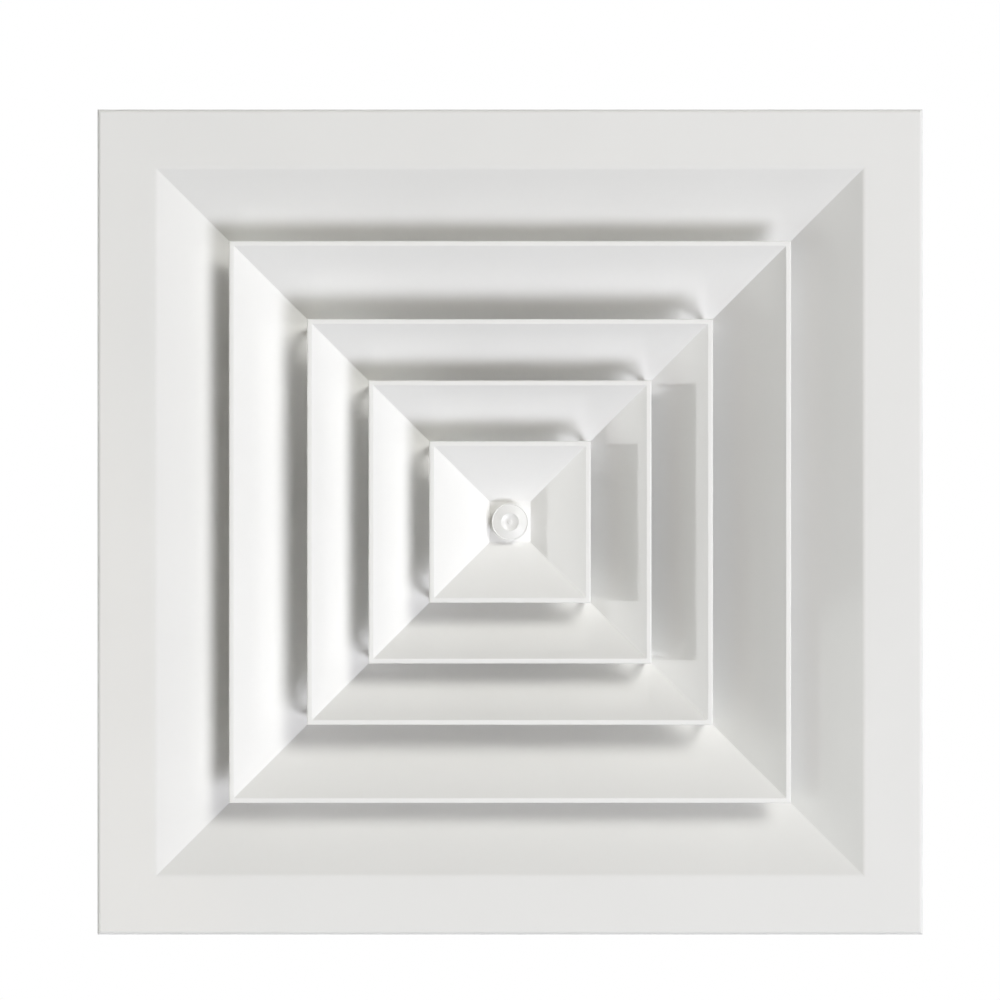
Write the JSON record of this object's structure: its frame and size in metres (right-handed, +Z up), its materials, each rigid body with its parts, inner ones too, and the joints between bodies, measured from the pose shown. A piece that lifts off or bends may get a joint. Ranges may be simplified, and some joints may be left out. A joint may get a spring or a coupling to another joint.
{
  "type": "ceiling air diffuser",
  "caption": "Square white plastic ceiling air diffuser: flat flange, flared outer cone, nested square cones in a removable core, and a geared opposed-blade damper in the neck.",
  "frame": {"origin": "centre of the bearing plane where the flange's rim meets the ceiling", "axes": "+Z up into the ceiling, away from the room; the face looks to -Z; +X and +Y square to the sides, damper blades along Y"},
  "size_m": [0.595, 0.595, 0.123],
  "materials": {
    "white_plastic": "satin-gloss moulded white ABS",
    "cap_plastic": "gloss moulded white",
    "carrier_plastic": "plain moulded white",
    "foam": "closed-cell foam strip",
    "zinc_steel": "bright zinc plated",
    "aluminium": "mill finish",
    "black_aluminium": "matt black anodised",
    "nylon": "dark grey moulded nylon"
  },
  "bodies": {
    "frame": {"outer_frame": "white_plastic", "ceiling_gasket": "foam", "cross_bar": "zinc_steel", "cross_bar_nut": "zinc_steel", "cross_bar_screws": "zinc_steel", "damper_rail_left": "black_aluminium", "damper_rail_right": "black_aluminium", "damper_rail_plain": "black_aluminium", "damper_rail_gear": "black_aluminium", "damper_corner_brackets": "aluminium", "damper_corner_rivets": "aluminium", "damper_fixing_screws": "zinc_steel", "damper_gear_cover": "black_aluminium", "damper_cover_screws": "zinc_steel", "plain_bushes": "nylon", "gear_bushes": "nylon"},
    "core": {"ring_cone_1": "white_plastic", "ring_cone_2": "white_plastic", "ring_cone_3": "white_plastic", "centre_cone": "white_plastic", "spider": "carrier_plastic", "ring_1_screws": "zinc_steel", "ring_2_screws": "zinc_steel", "ring_3_screws": "zinc_steel", "centre_washer": "zinc_steel", "centre_screw": "zinc_steel"},
    "cap": {"centre_cap": "cap_plastic"},
    "damper_blade_1": {"blade_1": "black_aluminium", "gear_1": "nylon"},
    "damper_blade_2": {"blade_2": "black_aluminium", "gear_2": "nylon"},
    "damper_blade_3": {"blade_3": "black_aluminium", "gear_3": "nylon"},
    "damper_blade_4": {"blade_4": "black_aluminium", "gear_4": "nylon", "damper_lever": "nylon"},
    "damper_blade_5": {"blade_5": "black_aluminium", "gear_5": "nylon"},
    "damper_blade_6": {"blade_6": "black_aluminium", "gear_6": "nylon"},
    "damper_blade_7": {"blade_7": "black_aluminium", "gear_7": "nylon"},
    "damper_blade_8": {"blade_8": "black_aluminium", "gear_8": "nylon"}
  },
  "joints": [
    {"name": "core_release", "type": "slide", "parent": "frame", "child": "core", "axis": [0, 0, -1], "range_m": [0, 0.15]},
    {"name": "cap_pull", "type": "slide", "parent": "core", "child": "cap", "axis": [0, 0, -1], "range_m": [0, 0.03]},
    {"name": "blade_1_turn", "type": "hinge", "parent": "frame", "child": "damper_blade_1", "pos_m": [-0.15225, 0, 0.087], "axis": [0, 1, 0], "range_deg": [0, 90]},
    {"name": "blade_2_turn", "type": "hinge", "parent": "frame", "child": "damper_blade_2", "pos_m": [-0.10875, 0, 0.087], "axis": [0, 1, 0], "range_deg": [-90, 0]},
    {"name": "blade_3_turn", "type": "hinge", "parent": "frame", "child": "damper_blade_3", "pos_m": [-0.06525, 0, 0.087], "axis": [0, 1, 0], "range_deg": [0, 90]},
    {"name": "blade_4_turn", "type": "hinge", "parent": "frame", "child": "damper_blade_4", "pos_m": [-0.02175, 0, 0.087], "axis": [0, 1, 0], "range_deg": [-90, 0]},
    {"name": "blade_5_turn", "type": "hinge", "parent": "frame", "child": "damper_blade_5", "pos_m": [0.02175, 0, 0.087], "axis": [0, 1, 0], "range_deg": [0, 90]},
    {"name": "blade_6_turn", "type": "hinge", "parent": "frame", "child": "damper_blade_6", "pos_m": [0.06525, 0, 0.087], "axis": [0, 1, 0], "range_deg": [-90, 0]},
    {"name": "blade_7_turn", "type": "hinge", "parent": "frame", "child": "damper_blade_7", "pos_m": [0.10875, 0, 0.087], "axis": [0, 1, 0], "range_deg": [0, 90]},
    {"name": "blade_8_turn", "type": "hinge", "parent": "frame", "child": "damper_blade_8", "pos_m": [0.15225, 0, 0.087], "axis": [0, 1, 0], "range_deg": [-90, 0]}
  ],
  "couplings": [
    {"joint": "blade_2_turn", "follows": "blade_1_turn", "ratio": -1},
    {"joint": "blade_3_turn", "follows": "blade_1_turn", "ratio": 1},
    {"joint": "blade_4_turn", "follows": "blade_1_turn", "ratio": -1},
    {"joint": "blade_5_turn", "follows": "blade_1_turn", "ratio": 1},
    {"joint": "blade_6_turn", "follows": "blade_1_turn", "ratio": -1},
    {"joint": "blade_7_turn", "follows": "blade_1_turn", "ratio": 1},
    {"joint": "blade_8_turn", "follows": "blade_1_turn", "ratio": -1}
  ]
}
